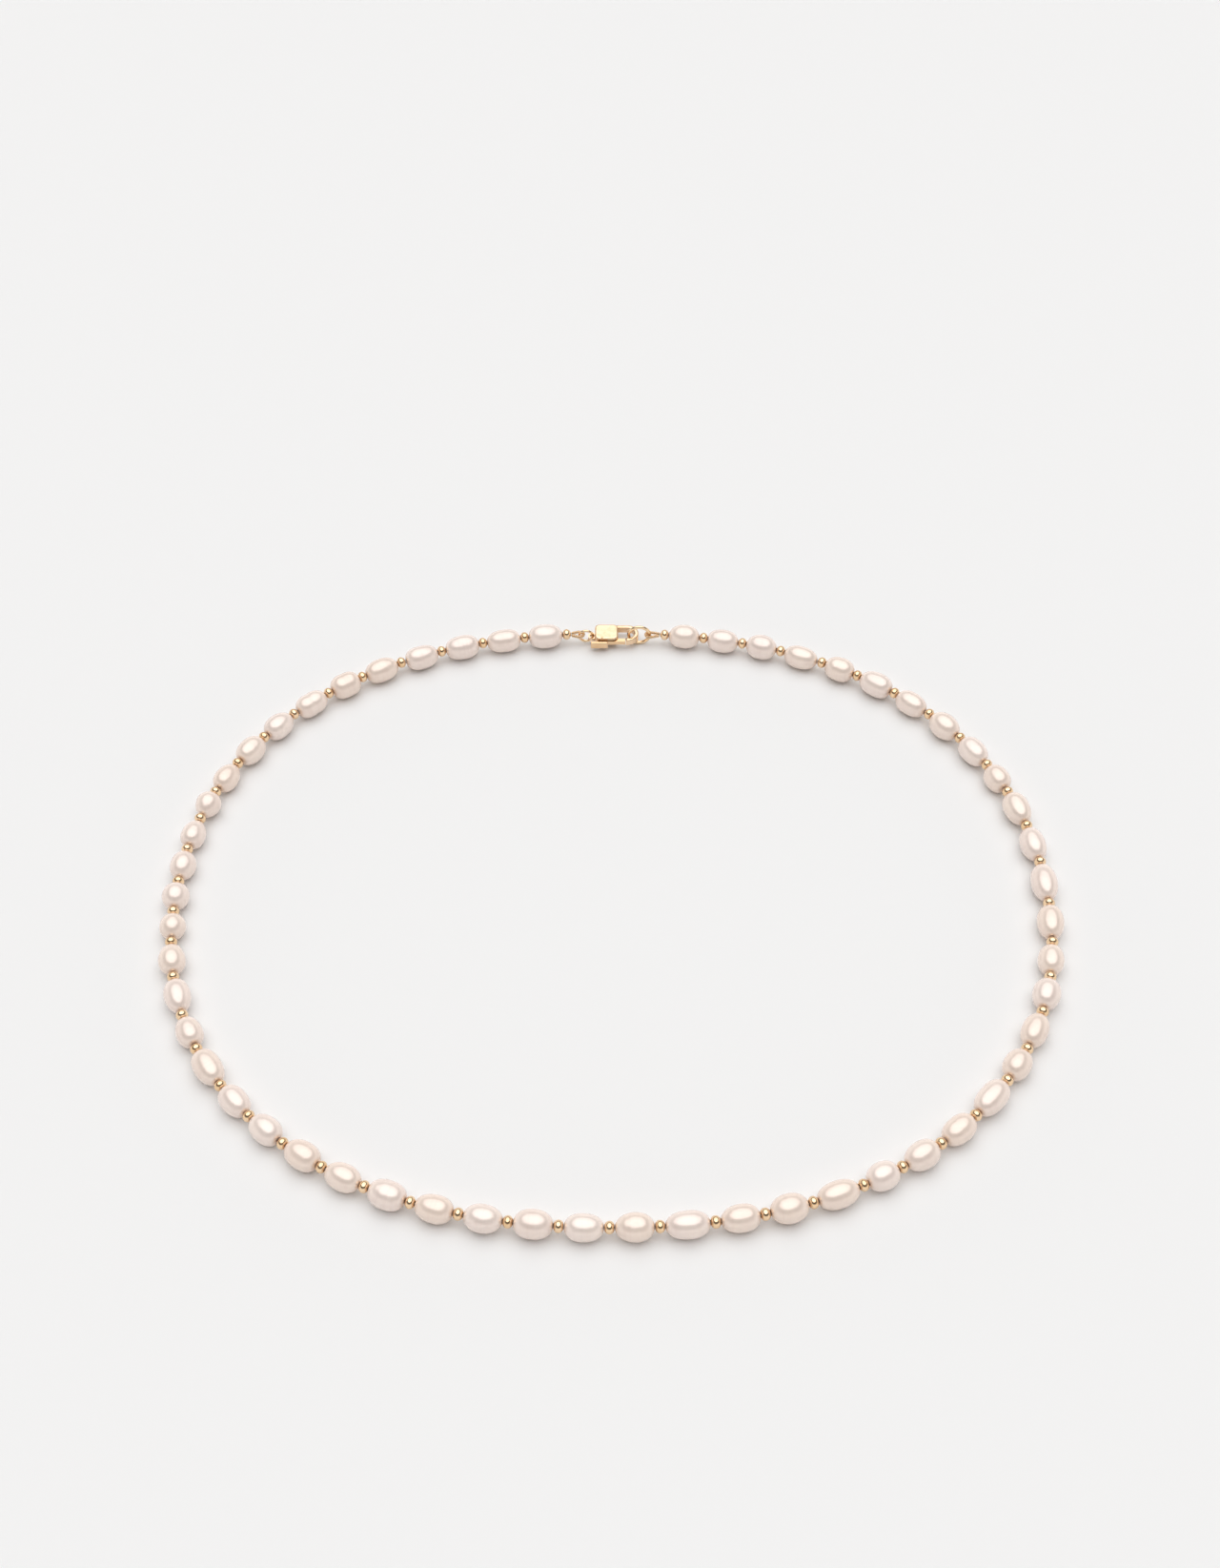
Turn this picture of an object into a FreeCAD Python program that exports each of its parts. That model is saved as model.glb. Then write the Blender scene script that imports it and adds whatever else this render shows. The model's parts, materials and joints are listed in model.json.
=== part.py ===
import FreeCAD, Part
import math
import os
import Sketcher
from FreeCAD import Placement, Rotation, Vector

# Single-strand pearl necklace laid out as a closed loop on a table, in millimetres.
# +X runs along the clasp, +Y points from the front pearl to the clasp, +Z is up, and
# the origin is on the table under the middle of the loop.
DRIVING = {
    # the loop: a superellipse through the bead centres
    "loop_half_width": 76.8,
    "loop_half_depth": 65.9,
    "loop_squareness": 2.2,
    "thread_height": 2.4,
    # where the strand stops at each side of the clasp
    "left_end_x": 8.8,
    "right_end_x": 10.4,
    # pearls and gold spacer beads
    "pearl_width": 4.75,
    "pearl_bore": 0.9,
    "bead_width": 2.1,
    "bead_length": 1.7,
    "bead_bore": 0.8,
    "bead_seat": 0.85,
    "fold_seat": 0.98,
    "thread_width": 0.32,
    # French wire loops at both ends
    "gimp_width": 0.6,
    "gimp_hole": 0.38,
    "gimp_bend": 0.7,
    "gimp_start": 1.05,
    "bore_exit": 0.8,
    "gimp_leg_offset": 0.31,
    "bore_leg_offset": 0.17,
    "loop_tail": 2.5,
    "left_bend_x": -6.2,
    # jump ring at the clasp's tail, and the ring that the clasp catches
    "tail_ring_x": -5.0,
    "tail_ring_height": 2.0,
    "tail_ring_middle": 1.35,
    "tail_ring_wire": 0.5,
    "end_ring_x": 5.4,
    "end_ring_height": 2.4,
    "end_ring_middle": 2.05,
    "end_ring_wire": 0.65,
    # lobster clasp, measured from the middle of its tail eye
    "eye_x": -3.75,
    "clasp_height": 1.75,
    "eye_hole": 1.0,
    "eye_width": 1.7,
    "eye_thickness": 0.6,
    "block_start": 0.45,
    "block_end": 5.05,
    "block_near": 1.5,
    "block_far": 2.65,
    "block_thickness": 2.0,
    "block_corner": 1.0,
    "hook_x": 6.9,
    "hook_y": 0.45,
    "hook_inner": 1.3,
    "hook_outer": 2.2,
    "hook_thickness": 1.5,
    "hook_tip_x": 6.55,
    "slot_height": 0.9,
    "slot_depth": 2.3,
    "slot_start": 1.2,
    "rim_round": 0.38,
    "hook_round": 0.35,
    "pivot_x": 1.9,
    "pivot_y": 1.05,
    "knuckle_width": 1.0,
    "pin_width": 0.6,
    "pin_fit": 0.04,
    "lever_thickness": 0.8,
    "lever_tip_x": 6.45,
    "tab_start": -0.3,
    "tab_end": 3.0,
    "tab_reach": 2.55,
    "rib_depth": 0.5,
    "rib_thickness": 1.5,
    "rib_round": 0.2,
    "spring_wire": 0.22,
    "spring_start": 2.8,
    "spring_end": 4.7,
}

# Each arc of the strand, in stringing order from the clasp's left side round the front to
# its right side: its name, the sizes of its pearls (s short, m medium, l long), and how
# far back (+Y) its last bead lies. Left and right arcs end on the same lines, which run
# along X: the loop folds over these lines as a strand folds over a collar bone.
ARCS = (
    ("back_left", "mmmm", 57.9),
    ("left_5", "msm", 44.2),
    ("left_4", "mmm", 24.6),
    ("left_3", "smmss", -10.0),
    ("left_2", "sms", -32.3),
    ("left_1", "lmm", -50.6),
    ("front", "mmmmmmmmlmmlsm", -50.6),
    ("right_1", "mls", -32.3),
    ("right_2", "lmm", -10.0),
    ("right_3", "mlmm", 24.6),
    ("right_4", "smm", 44.2),
    ("right_5", "mms", 57.9),
    ("back_right", "lmmm", None),
)
FRONT_ARC = 6
HOLE_LENGTH = 20
THREAD_STOP = 0.15
THREAD_START = 0.1
KNOT_PLACE = 0.6
KNOT_SIZE = 0.8
BEND_SHARE = 0.45
LENGTH_OF_SIZE = {"s": 0.91, "m": 1.0, "l": 1.1}
WIDTH_OF_SIZE = {"s": 1.0, "m": 1.0, "l": 0.98}
FLATTEST = 0.97
UNEVENNESS = 0.03
UNEVEN_STEP = 2.4
CURVE_STEPS = 2880

doc = FreeCAD.newDocument("pearl_necklace")
sheet = doc.addObject("Spreadsheet::Sheet", "Dims")
for row, (alias, number) in enumerate(DRIVING.items(), start=1):
    sheet.set(f"A{row}", alias)
    sheet.set(f"B{row}", str(number))
    sheet.setAlias(f"B{row}", alias)
doc.recompute()

UP = Vector(0, 0, 1)
nodes = []


def dim(alias):
    """A driving dimension, as the sheet holds it."""
    return float(sheet.get(alias))


def bind(thing, **expressions):
    """Ties properties of an object to the sheet's cells."""
    for name, expression in expressions.items():
        for alias in sorted(DRIVING, key=len, reverse=True):
            expression = expression.replace(f"<{alias}>", f"Dims.{alias}")
        thing.setExpression(name, expression)


def node(thing, label):
    """Names a finished sub-part, which gets a file of its own."""
    thing.Label = label
    nodes.append(thing)
    return thing


def group(label, pieces):
    """One sub-part of several separate solids of the same kind."""
    together = doc.addObject("Part::Compound", f"{label}_group")
    together.Links = pieces
    return node(together, label)


# ---------------------------------------------------------------- the strand's line


def loop_point(turn):
    """The loop at a turn from 0, at the clasp, by the left and the front to 2 pi."""
    power = 2 / dim("loop_squareness")
    across = math.copysign(abs(math.sin(turn)) ** power, math.sin(turn))
    back = math.copysign(abs(math.cos(turn)) ** power, math.cos(turn))
    x = -dim("loop_half_width") * across
    return Vector(x, dim("loop_half_depth") * back, dim("thread_height"))


def turn_at_y(y, on_left):
    """The turn at which the left or right half of the loop is y back from the middle."""
    cosine = (abs(y) / dim("loop_half_depth")) ** (dim("loop_squareness") / 2)
    turn = math.acos(math.copysign(cosine, y))
    return turn if on_left else 2 * math.pi - turn


def turn_at_x(x):
    """The turn near the clasp at which the loop is x to the right of the middle."""
    across = -x / dim("loop_half_width")
    sine = abs(across) ** (dim("loop_squareness") / 2)
    return math.asin(sine) if across > 0 else 2 * math.pi - math.asin(sine)


def split_by_length(first, last, shares):
    """Points between two turns of the loop that share out its length."""
    turns = [first + (last - first) * n / CURVE_STEPS for n in range(CURVE_STEPS + 1)]
    points = [loop_point(turn) for turn in turns]
    run = [0.0]
    for one, other in zip(points, points[1:]):
        run.append(run[-1] + one.distanceToPoint(other))
    found, reached, at = [points[0]], 0.0, 0
    for share in shares:
        reached += share * run[-1] / sum(shares)
        while at < CURVE_STEPS and run[at] < reached - 1e-9:
            at += 1
        found.append(points[at])
    return found


def bead_places():
    """Bead centres of each arc, its first and last beads shared with its neighbours."""
    turn, places = turn_at_x(-dim("left_end_x")), []
    for number, (_, sizes, end_y) in enumerate(ARCS):
        if end_y is None:
            end = turn_at_x(dim("right_end_x"))
        else:
            end = turn_at_y(end_y, number < FRONT_ARC)
        shares = [LENGTH_OF_SIZE[size] for size in sizes]
        places.append(split_by_length(turn, end, shares))
        turn = end
    return places


def rounded_path(points, label):
    """A wire of straight runs joined by tangent arcs, as large as the runs allow."""
    edges, start = [], points[0]
    for before, corner, after in zip(points, points[1:], points[2:]):
        back = (before - corner).normalize()
        ahead = (after - corner).normalize()
        half = (math.pi - back.getAngle(ahead)) / 2
        shorter = min(corner.distanceToPoint(before), corner.distanceToPoint(after))
        reach = BEND_SHARE * shorter
        radius = reach / math.tan(half)
        inward = (back + ahead).normalize()
        middle = corner + inward * (radius / math.cos(half) - radius)
        edges.append(Part.makeLine(start, corner + back * reach))
        start = corner + ahead * reach
        edges.append(Part.Arc(corner + back * reach, middle, start).toShape())
    edges.append(Part.makeLine(start, points[-1]))
    path = doc.addObject("Part::Feature", f"{label}_path")
    path.Shape = Part.Wire(edges)
    return path


def swept(path, alias, label):
    """A round bar along a path, as thick as a cell of the sheet says."""
    wire = path.Shape.Wires[0]
    first = wire.OrderedEdges[0]
    start = first.valueAt(first.FirstParameter)
    ahead = first.tangentAt(first.FirstParameter)
    section = doc.addObject("Part::Circle", f"{label}_section")
    section.Placement = Placement(start, Rotation(UP, ahead))
    bind(section, Radius=f"<{alias}> / 2")
    bar = doc.addObject("Part::Sweep", label)
    bar.Sections = [section]
    bar.Spine = (path, [f"Edge{n + 1}" for n in range(len(wire.Edges))])
    bar.Solid = True
    return bar


def along(direction):
    """A turn that lays Z along a direction and keeps X as near upright as it can."""
    return Rotation(UP, Vector(), direction, "ZXY")


# ---------------------------------------------------------------- pearls and beads


def bored(label, half_length, half_height, half_width, bore):
    """A rounded piece with a hole along it, sized by four expressions."""
    body = doc.addObject("Part::Ellipsoid", f"{label}_solid")
    bind(body, Radius1=half_length, Radius2=half_height, Radius3=half_width)
    body.Angle1, body.Angle2, body.Angle3 = -90, 90, 360
    hole = doc.addObject("Part::Cylinder", f"{label}_hole")
    hole.Height = HOLE_LENGTH
    hole.Placement.Base = Vector(0, 0, -HOLE_LENGTH / 2)
    bind(hole, Radius=f"<{bore}> / 2")
    piece = doc.addObject("Part::Cut", label)
    piece.Base, piece.Tool = body, hole
    return piece


def pearl(number, size, before, after, seats):
    """One pearl between two beads, resting on the table, drilled end to end."""
    ahead = (after - before).normalize()
    length = before.distanceToPoint(after) - sum(seats)
    wide = WIDTH_OF_SIZE[size] * (1 + UNEVENNESS * math.sin(UNEVEN_STEP * number))
    half_width = wide * dim("pearl_width") / 2
    half_height = FLATTEST * half_width
    mouth = dim("pearl_bore") / 2
    half_length = length / 2 / math.sqrt(1 - mouth**2 / (half_width * half_height))
    piece = bored(
        f"pearl_{number}",
        str(half_length),
        f"<pearl_width> * {FLATTEST * wide / 2}",
        f"<pearl_width> * {wide / 2}",
        "pearl_bore",
    )
    middle = before + ahead * (seats[0] + length / 2)
    middle.z = half_height
    piece.Placement = Placement(middle, along(ahead))
    return piece


def bead(number, place, coming, going):
    """One gold spacer bead, square to the strand."""
    piece = bored(
        f"bead_{number}",
        "<bead_length> / 2",
        "<bead_width> / 2",
        "<bead_width> / 2",
        "bead_bore",
    )
    piece.Placement = Placement(place, along((coming + going).normalize()))
    return piece


def strand():
    """Pearls, beads and thread of every arc. A bead on a fold rides with the arc nearer
    the front, and the next pearl stands off it far enough to swing."""
    places = bead_places()
    chain = [places[0][0]] + [place for arc in places for place in arc[1:]]
    steps = [(b - a).normalize() for a, b in zip(chain, chain[1:])]
    to_clasp = Vector(-1, 0, 0)
    coming, going = [to_clasp] + steps, steps + [to_clasp]
    first = 0
    for number, (name, sizes, _) in enumerate(ARCS):
        last = first + len(sizes)
        left, right = number < FRONT_ARC, number > FRONT_ARC
        own_first = first if not right else first + 1
        own_last = last if not left else last - 1
        pearls, beads = [], []
        for n, size in enumerate(sizes, start=first):
            seats = [dim("bead_seat"), dim("bead_seat")]
            if right and n == first:
                seats[0] = dim("fold_seat")
            if left and n == last - 1:
                seats[1] = dim("fold_seat")
            pearls.append(pearl(n + 1, size, chain[n], chain[n + 1], seats))
        for n in range(own_first, own_last + 1):
            beads.append(bead(n, chain[n], coming[n], going[n]))
        group(f"pearls_{name}", pearls)
        group(f"spacer_beads_{name}", beads)
        strand_thread(name, chain[first : last + 1], right, left)
        first = last
    return chain


def strand_thread(name, beads, swings_at_first, swings_at_last):
    """The thread of one arc. It ends inside its last bead at a fold, or just past the
    next arc's bead where that bead is not its own."""
    inside = dim("bead_length") / 2 - THREAD_STOP
    past = dim("fold_seat") + THREAD_START
    after_knot = dim("loop_tail") + 2 * KNOT_PLACE
    points = list(beads)
    ahead = (beads[1] - beads[0]).normalize()
    back = (beads[-2] - beads[-1]).normalize()
    if name == "back_left":
        points[0] = beads[0] + ahead * after_knot
    elif swings_at_first:
        points[0] = beads[0] + ahead * past
    else:
        points[0] = beads[0] - ahead * inside
    if name == "back_right":
        points[-1] = beads[-1] + back * after_knot
    elif swings_at_last:
        points[-1] = beads[-1] + back * past
    else:
        points[-1] = beads[-1] - back * inside
    path = rounded_path(points, f"thread_{name}")
    node(swept(path, "thread_width", f"thread_{name}_bar"), f"thread_{name}")


# ---------------------------------------------------------------- ends of the thread


def wire_loop(name, end_bead, next_bead, bend_x):
    """French wire round a ring, the doubled thread in it, and its knot in the pearl."""
    side = 1 if bend_x > end_bead.x else -1
    bend = Vector(bend_x, end_bead.y, end_bead.z)
    radius = dim("gimp_bend")
    start_x = end_bead.x + side * dim("gimp_start")

    def leg(offset, x):
        return Vector(x, end_bead.y + offset, end_bead.z)

    foot = leg(dim("gimp_leg_offset"), start_x)
    reach = foot - bend
    from_centre = math.hypot(reach.x, reach.y)
    spread = math.acos(radius / from_centre)
    angle = math.atan2(reach.y, reach.x) - side * spread
    touch = bend + Vector(math.cos(angle), math.sin(angle), 0) * radius
    mirror = Vector(touch.x, 2 * bend.y - touch.y, touch.z)
    other_foot = leg(-dim("gimp_leg_offset"), start_x)
    arc = Part.Arc(touch, bend + Vector(side * radius, 0, 0), mirror).toShape()
    legs = Part.makeLine(foot, touch), Part.makeLine(mirror, other_foot)
    path = doc.addObject("Part::Feature", f"gimp_{name}_path")
    path.Shape = Part.Wire([legs[0], arc, legs[1]])
    tube = doc.addObject("Part::Cut", f"gimp_{name}_tube")
    tube.Base = swept(path, "gimp_width", f"gimp_{name}_bar")
    tube.Tool = swept(path, "gimp_hole", f"gimp_{name}_hole")
    node(tube, f"gimp_{name}")

    into = (next_bead - end_bead).normalize()
    aside = UP.cross(into) * -side
    tail = end_bead + into * dim("loop_tail")
    close = dim("bore_leg_offset")
    exit_x = end_bead.x + side * dim("bore_exit")
    inner = [tail + aside * close, leg(close, end_bead.x), leg(close, exit_x), foot]
    outer = [other_foot, leg(-close, exit_x), leg(-close, end_bead.x), tail - aside * close]
    edges = [Part.makeLine(a, b) for a, b in zip(inner, inner[1:])]
    edges += [legs[0], arc, legs[1]]
    edges += [Part.makeLine(a, b) for a, b in zip(outer, outer[1:])]
    thread_path = doc.addObject("Part::Feature", f"thread_loop_{name}_path")
    thread_path.Shape = Part.Wire(edges)
    loop = swept(thread_path, "thread_width", f"thread_loop_{name}_bar")
    loop.Transition = "Round corner"
    node(loop, f"thread_loop_{name}")

    knot = doc.addObject("Part::Sphere", f"thread_knot_{name}_solid")
    bind(knot, Radius=f"<thread_width> * {KNOT_SIZE}")
    knot_place = end_bead + into * (dim("loop_tail") + KNOT_PLACE)
    knot.Placement.Base = knot_place
    node(knot, f"thread_knot_{name}")


def ring(label, x, height, middle, wire, line_y):
    """A closed round ring that stands upright along X."""
    piece = doc.addObject("Part::Torus", f"{label}_solid")
    bind(piece, Radius1=f"<{middle}>", Radius2=f"<{wire}> / 2")
    place = Vector(dim(x), line_y, dim(height))
    piece.Placement = Placement(place, Rotation(Vector(1, 0, 0), 90))
    return node(piece, label)


# ---------------------------------------------------------------- lobster clasp


def total(terms):
    """The value of a sum of cells, given as {alias: factor}."""
    return sum(factor * dim(alias) for alias, factor in terms.items())


def formula(terms):
    """The same sum as an expression."""
    return " + ".join(f"{factor} * Dims.{alias}" for alias, factor in terms.items())


def flat_sketch(body, name):
    """A sketch on the body's own XY plane."""
    sketch = body.newObject("Sketcher::SketchObject", name)
    planes = [f for f in body.Origin.OriginFeatures if f.Role == "XY_Plane"]
    sketch.AttachmentSupport = [(planes[0], "")]
    sketch.MapMode = "FlatFace"
    return sketch


def tie(sketch, kind, where, terms):
    """Adds a dimension to a sketch and ties it to the sheet."""
    index = sketch.addConstraint(Sketcher.Constraint(kind, *where, total(terms)))
    sketch.setExpression(f"Constraints[{index}]", formula(terms))


def rectangle(sketch, left, right, near, far):
    """A rectangle between four sums of cells."""
    corners = (left, near), (right, near), (right, far), (left, far)
    points = [Vector(total(x), total(y), 0) for x, y in corners]
    first = sketch.GeometryCount
    for n in range(4):
        sketch.addGeometry(Part.LineSegment(points[n], points[(n + 1) % 4]))
    for n in range(4):
        after = first + (n + 1) % 4
        sketch.addConstraint(Sketcher.Constraint("Coincident", first + n, 2, after, 1))
    for n, kind in enumerate(("Horizontal", "Vertical", "Horizontal", "Vertical")):
        sketch.addConstraint(Sketcher.Constraint(kind, first + n))
    tie(sketch, "DistanceX", (first, 1), left)
    tie(sketch, "DistanceY", (first, 1), near)
    tie(sketch, "DistanceX", (first + 2, 1), right)
    tie(sketch, "DistanceY", (first + 2, 1), far)


def circle(sketch, x, y, radius):
    """A circle whose middle and radius are sums of cells, or on an axis where empty."""
    middle = Vector(total(x), total(y), 0)
    number = sketch.addGeometry(Part.Circle(middle, UP, total(radius)))
    tie(sketch, "Radius", (number,), radius)
    for kind, terms, axis in (("DistanceX", x, -2), ("DistanceY", y, -1)):
        if terms:
            tie(sketch, kind, (number, 3), terms)
        else:
            sketch.addConstraint(Sketcher.Constraint("PointOnObject", number, 3, axis))


def flat(body, kind, name, thickness, draw, *shapes):
    """A pad or pocket that reaches equally far to both sides of the XY plane."""
    before = body.Shape.Volume if body.Tip else 0
    sketch = flat_sketch(body, f"{name}_sketch")
    for shape in shapes:
        draw(sketch, *shape)
    feature = body.newObject(f"PartDesign::{kind}", name)
    feature.Profile = sketch
    feature.SideType = "Symmetric"
    bind(feature, Length=f"<{thickness}>")
    doc.recompute()
    grew = body.Shape.Volume > before
    assert grew == (kind == "Pad"), f"{name} changed nothing"


def rounded(body, name, radius, chosen):
    """Rounds the edges of the body's last feature that a test chooses."""
    base = body.Tip
    edges = [f"Edge{n}" for n, edge in enumerate(base.Shape.Edges, 1) if chosen(edge)]
    fillet = body.newObject("PartDesign::Fillet", name)
    fillet.Base = (base, edges)
    bind(fillet, Radius=radius)
    doc.recompute()


def on_rim(thickness):
    """A test for edges that lie flat on the upper or lower face of a piece."""
    level = dim(thickness) / 2

    def test(edge):
        low, high = edge.BoundBox.ZMin, edge.BoundBox.ZMax
        return abs(abs(low) - level) < 1e-6 and high - low < 1e-6

    return test


def upright(edge):
    """Is an edge straight along Z?"""
    return max(edge.BoundBox.XLength, edge.BoundBox.YLength) < 1e-6


def clasp_body(place):
    """The hollow block, the tail eye and the hook, cast in one piece."""
    body = doc.addObject("PartDesign::Body", "ClaspBody")
    block = {"block_start": 1}, {"block_end": 1}, {"block_near": -1}, {"block_far": 1}
    flat(body, "Pad", "Block", "block_thickness", rectangle, block)
    rounded(body, "BlockCorners", "<block_corner>", upright)
    rounded(body, "BlockRims", "<rim_round>", on_rim("block_thickness"))

    eye = {}, {}, {"eye_width": 0.5}
    flat(body, "Pad", "Eye", "eye_thickness", circle, eye)
    eye_hole = {}, {}, {"eye_hole": 0.5}
    flat(body, "Pocket", "EyeHole", "block_thickness", circle, eye_hole)

    slot = (
        {"slot_start": 1},
        {"block_end": 1.2},
        {"block_near": -1.2},
        {"block_near": -1, "slot_depth": 1},
    )
    flat(body, "Pocket", "LeverSlot", "slot_height", rectangle, slot)
    pin_hole = {"pivot_x": 1}, {"pivot_y": -1}, {"pin_width": 0.5, "pin_fit": 0.25}
    flat(body, "Pocket", "PinHole", "block_thickness", circle, pin_hole)

    hook = doc.addObject("PartDesign::Body", "ClaspHook")
    bend = {"hook_x": 1}, {"hook_y": 1}
    bend_rims = (*bend, {"hook_outer": 1}), (*bend, {"hook_inner": 1})
    flat(hook, "Pad", "Bend", "hook_thickness", circle, *bend_rims)
    behind = (
        {"hook_x": 1, "hook_outer": -1.1},
        {"hook_x": 1},
        {"hook_y": 1, "hook_outer": -1.1},
        {"hook_y": 1, "hook_outer": 1.1},
    )
    flat(hook, "Pocket", "Mouth", "block_thickness", rectangle, behind)
    arm = (
        {"block_end": 1, "block_corner": -1},
        {"hook_x": 1},
        {"hook_y": 1, "hook_inner": 1},
        {"hook_y": 1, "hook_outer": 1},
    )
    flat(hook, "Pad", "Arm", "hook_thickness", rectangle, arm)
    tip = (
        {"hook_tip_x": 1},
        {"hook_x": 1},
        {"hook_y": 1, "hook_outer": -1},
        {"hook_y": 1, "hook_inner": -1},
    )
    flat(hook, "Pad", "Tip", "hook_thickness", rectangle, tip)
    rounded(hook, "HookRims", "<hook_round>", on_rim("hook_thickness"))

    whole = doc.addObject("Part::MultiFuse", "ClaspCasting")
    whole.Shapes = [body, hook]
    whole.Placement.Base = place
    node(whole, "clasp_body")


def clasp_lever(place):
    """The gate with its thumb tab, and the pin that it turns on."""
    body = doc.addObject("PartDesign::Body", "ClaspLever")
    gate_near, gate_far = {"hook_y": 1, "hook_outer": -1}, {"hook_y": 1, "hook_inner": -1}
    gate = {"pivot_x": 1}, {"lever_tip_x": 1}, gate_near, gate_far
    flat(body, "Pad", "Gate", "lever_thickness", rectangle, gate)
    knuckle = {"pivot_x": 1}, {"pivot_y": -1}, {"knuckle_width": 0.5}
    flat(body, "Pad", "Knuckle", "lever_thickness", circle, knuckle)
    tab = {"tab_start": 1}, {"tab_end": 1}, {"tab_reach": -1}, {"pivot_y": -1, "pin_width": -1}
    flat(body, "Pad", "Tab", "lever_thickness", rectangle, tab)
    rib_far = {"tab_reach": -1, "rib_depth": 1}
    rib = {"tab_start": 1}, {"tab_end": 1}, {"tab_reach": -1}, rib_far
    flat(body, "Pad", "ThumbRib", "rib_thickness", rectangle, rib)
    pin_hole = {"pivot_x": 1}, {"pivot_y": -1}, {"pin_width": 0.5, "pin_fit": 1}
    flat(body, "Pocket", "LeverPinHole", "block_thickness", circle, pin_hole)
    rounded(body, "RibRims", "<rib_round>", on_rim("rib_thickness"))
    body.Placement.Base = place
    node(body, "clasp_lever")

    pin = doc.addObject("Part::Cylinder", "LeverPin")
    bind(pin, Radius="<pin_width> / 2", Height="<block_thickness>")
    middle = Vector(dim("pivot_x"), -dim("pivot_y"), -dim("block_thickness") / 2)
    pin.Placement.Base = place + middle
    node(pin, "lever_pin")


def lever_spring(place):
    """The bent wire that pushes the lever shut, in the slot behind it."""
    wall = dim("slot_depth") - dim("block_near") - dim("spring_wire")
    lever = dim("hook_y") - dim("hook_inner") + dim("spring_wire")
    corners = (
        Vector(dim("spring_start"), wall, 0),
        Vector(dim("spring_end"), wall - dim("spring_wire"), 0),
        Vector(dim("spring_end") - dim("spring_wire"), (wall + lever) / 2, 0),
        Vector(dim("spring_start") + dim("spring_wire"), lever, 0),
    )
    path = rounded_path([place + corner for corner in corners], "lever_spring")
    node(swept(path, "spring_wire", "lever_spring_bar"), "lever_spring")


# ---------------------------------------------------------------- the whole necklace


def build():
    """Makes every sub-part and checks it before any file is written."""
    chain = strand()
    left, right = chain[0], chain[-1]
    wire_loop("left", left, chain[1], dim("left_bend_x"))
    wire_loop("right", right, chain[-2], dim("end_ring_x") + dim("end_ring_middle"))
    tail = "tail_ring_x", "tail_ring_height", "tail_ring_middle", "tail_ring_wire"
    caught = "end_ring_x", "end_ring_height", "end_ring_middle", "end_ring_wire"
    ring("tail_ring", *tail, left.y)
    ring("end_ring", *caught, right.y)
    eye = Vector(dim("eye_x"), left.y, dim("clasp_height"))
    clasp_body(eye)
    clasp_lever(eye)
    lever_spring(eye)
    doc.recompute()
    for thing in doc.Objects:
        failed = {"Invalid", "Error"} & set(thing.State)
        assert not failed, f"{thing.Label} failed: {thing.State}"
    for piece in nodes:
        shape = piece.Shape
        assert not shape.isNull() and shape.isValid(), f"{piece.Label} has no sound shape"
        assert shape.Volume > 0, f"{piece.Label} has no volume"
    os.makedirs("parts", exist_ok=True)
    for piece in nodes:
        piece.Shape.exportStep(f"parts/{piece.Label}.step")
        solids = len(piece.Shape.Solids)
        print(f"{piece.Label}: {solids} solids, {piece.Shape.Volume:.3f} mm3")
    return chain


beads_of_loop = build()
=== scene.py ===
"""Looks of the pearl necklace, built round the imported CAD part. Metres, in the part's own
frame: X runs along the clasp, Y from the front pearl to the clasp, Z up from the table."""

import json
import math
import random

import bpy
import numpy as np
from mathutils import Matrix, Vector, noise


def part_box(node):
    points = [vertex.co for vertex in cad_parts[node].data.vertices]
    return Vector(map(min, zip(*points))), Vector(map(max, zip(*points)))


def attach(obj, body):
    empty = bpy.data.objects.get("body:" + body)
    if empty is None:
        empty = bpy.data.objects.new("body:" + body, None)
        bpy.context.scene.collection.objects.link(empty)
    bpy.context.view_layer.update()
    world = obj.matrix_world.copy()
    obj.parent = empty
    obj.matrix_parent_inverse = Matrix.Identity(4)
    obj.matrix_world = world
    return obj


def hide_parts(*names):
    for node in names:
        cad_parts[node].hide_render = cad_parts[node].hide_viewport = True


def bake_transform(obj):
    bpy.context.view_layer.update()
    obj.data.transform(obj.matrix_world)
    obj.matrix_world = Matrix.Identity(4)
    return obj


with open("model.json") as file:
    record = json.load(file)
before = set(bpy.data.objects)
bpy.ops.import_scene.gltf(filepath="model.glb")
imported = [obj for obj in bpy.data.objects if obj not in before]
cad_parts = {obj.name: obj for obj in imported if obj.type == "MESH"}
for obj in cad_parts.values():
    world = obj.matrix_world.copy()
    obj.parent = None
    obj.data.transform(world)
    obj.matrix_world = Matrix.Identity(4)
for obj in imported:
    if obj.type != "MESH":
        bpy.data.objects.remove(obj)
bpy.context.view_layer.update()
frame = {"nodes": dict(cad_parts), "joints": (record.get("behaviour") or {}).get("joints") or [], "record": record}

MM = 0.001
UP = Vector((0, 0, 1))
TURN = 2 * math.pi
HOME = {
    node: body
    for body, nodes in frame["record"]["behaviour"]["bodies"].items()
    for node in nodes
}


# ---------------------------------------------------------------- camera


lens = bpy.data.cameras.new("camera")
lens.lens = 50
lens.sensor_width = 36
lens.clip_start = 0.01
eye, target = Vector((-0.0003, -0.2392, 0.3027)), Vector((-0.0003, 0.0265, 0.0024))
camera = bpy.data.objects.new("camera", lens)
camera.location = eye
camera.rotation_mode = "QUATERNION"
camera.rotation_quaternion = (target - eye).to_track_quat("-Z", "Y")
bpy.context.scene.collection.objects.link(camera)
bpy.context.scene.camera = camera


# ---------------------------------------------------------------- reading the CAD solids

# The axes of a solid come from the least to the most spread out: a bead is shortest along
# the strand, and a pearl is longest along it.
SHORTEST, LONGEST = 0, 2


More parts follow.
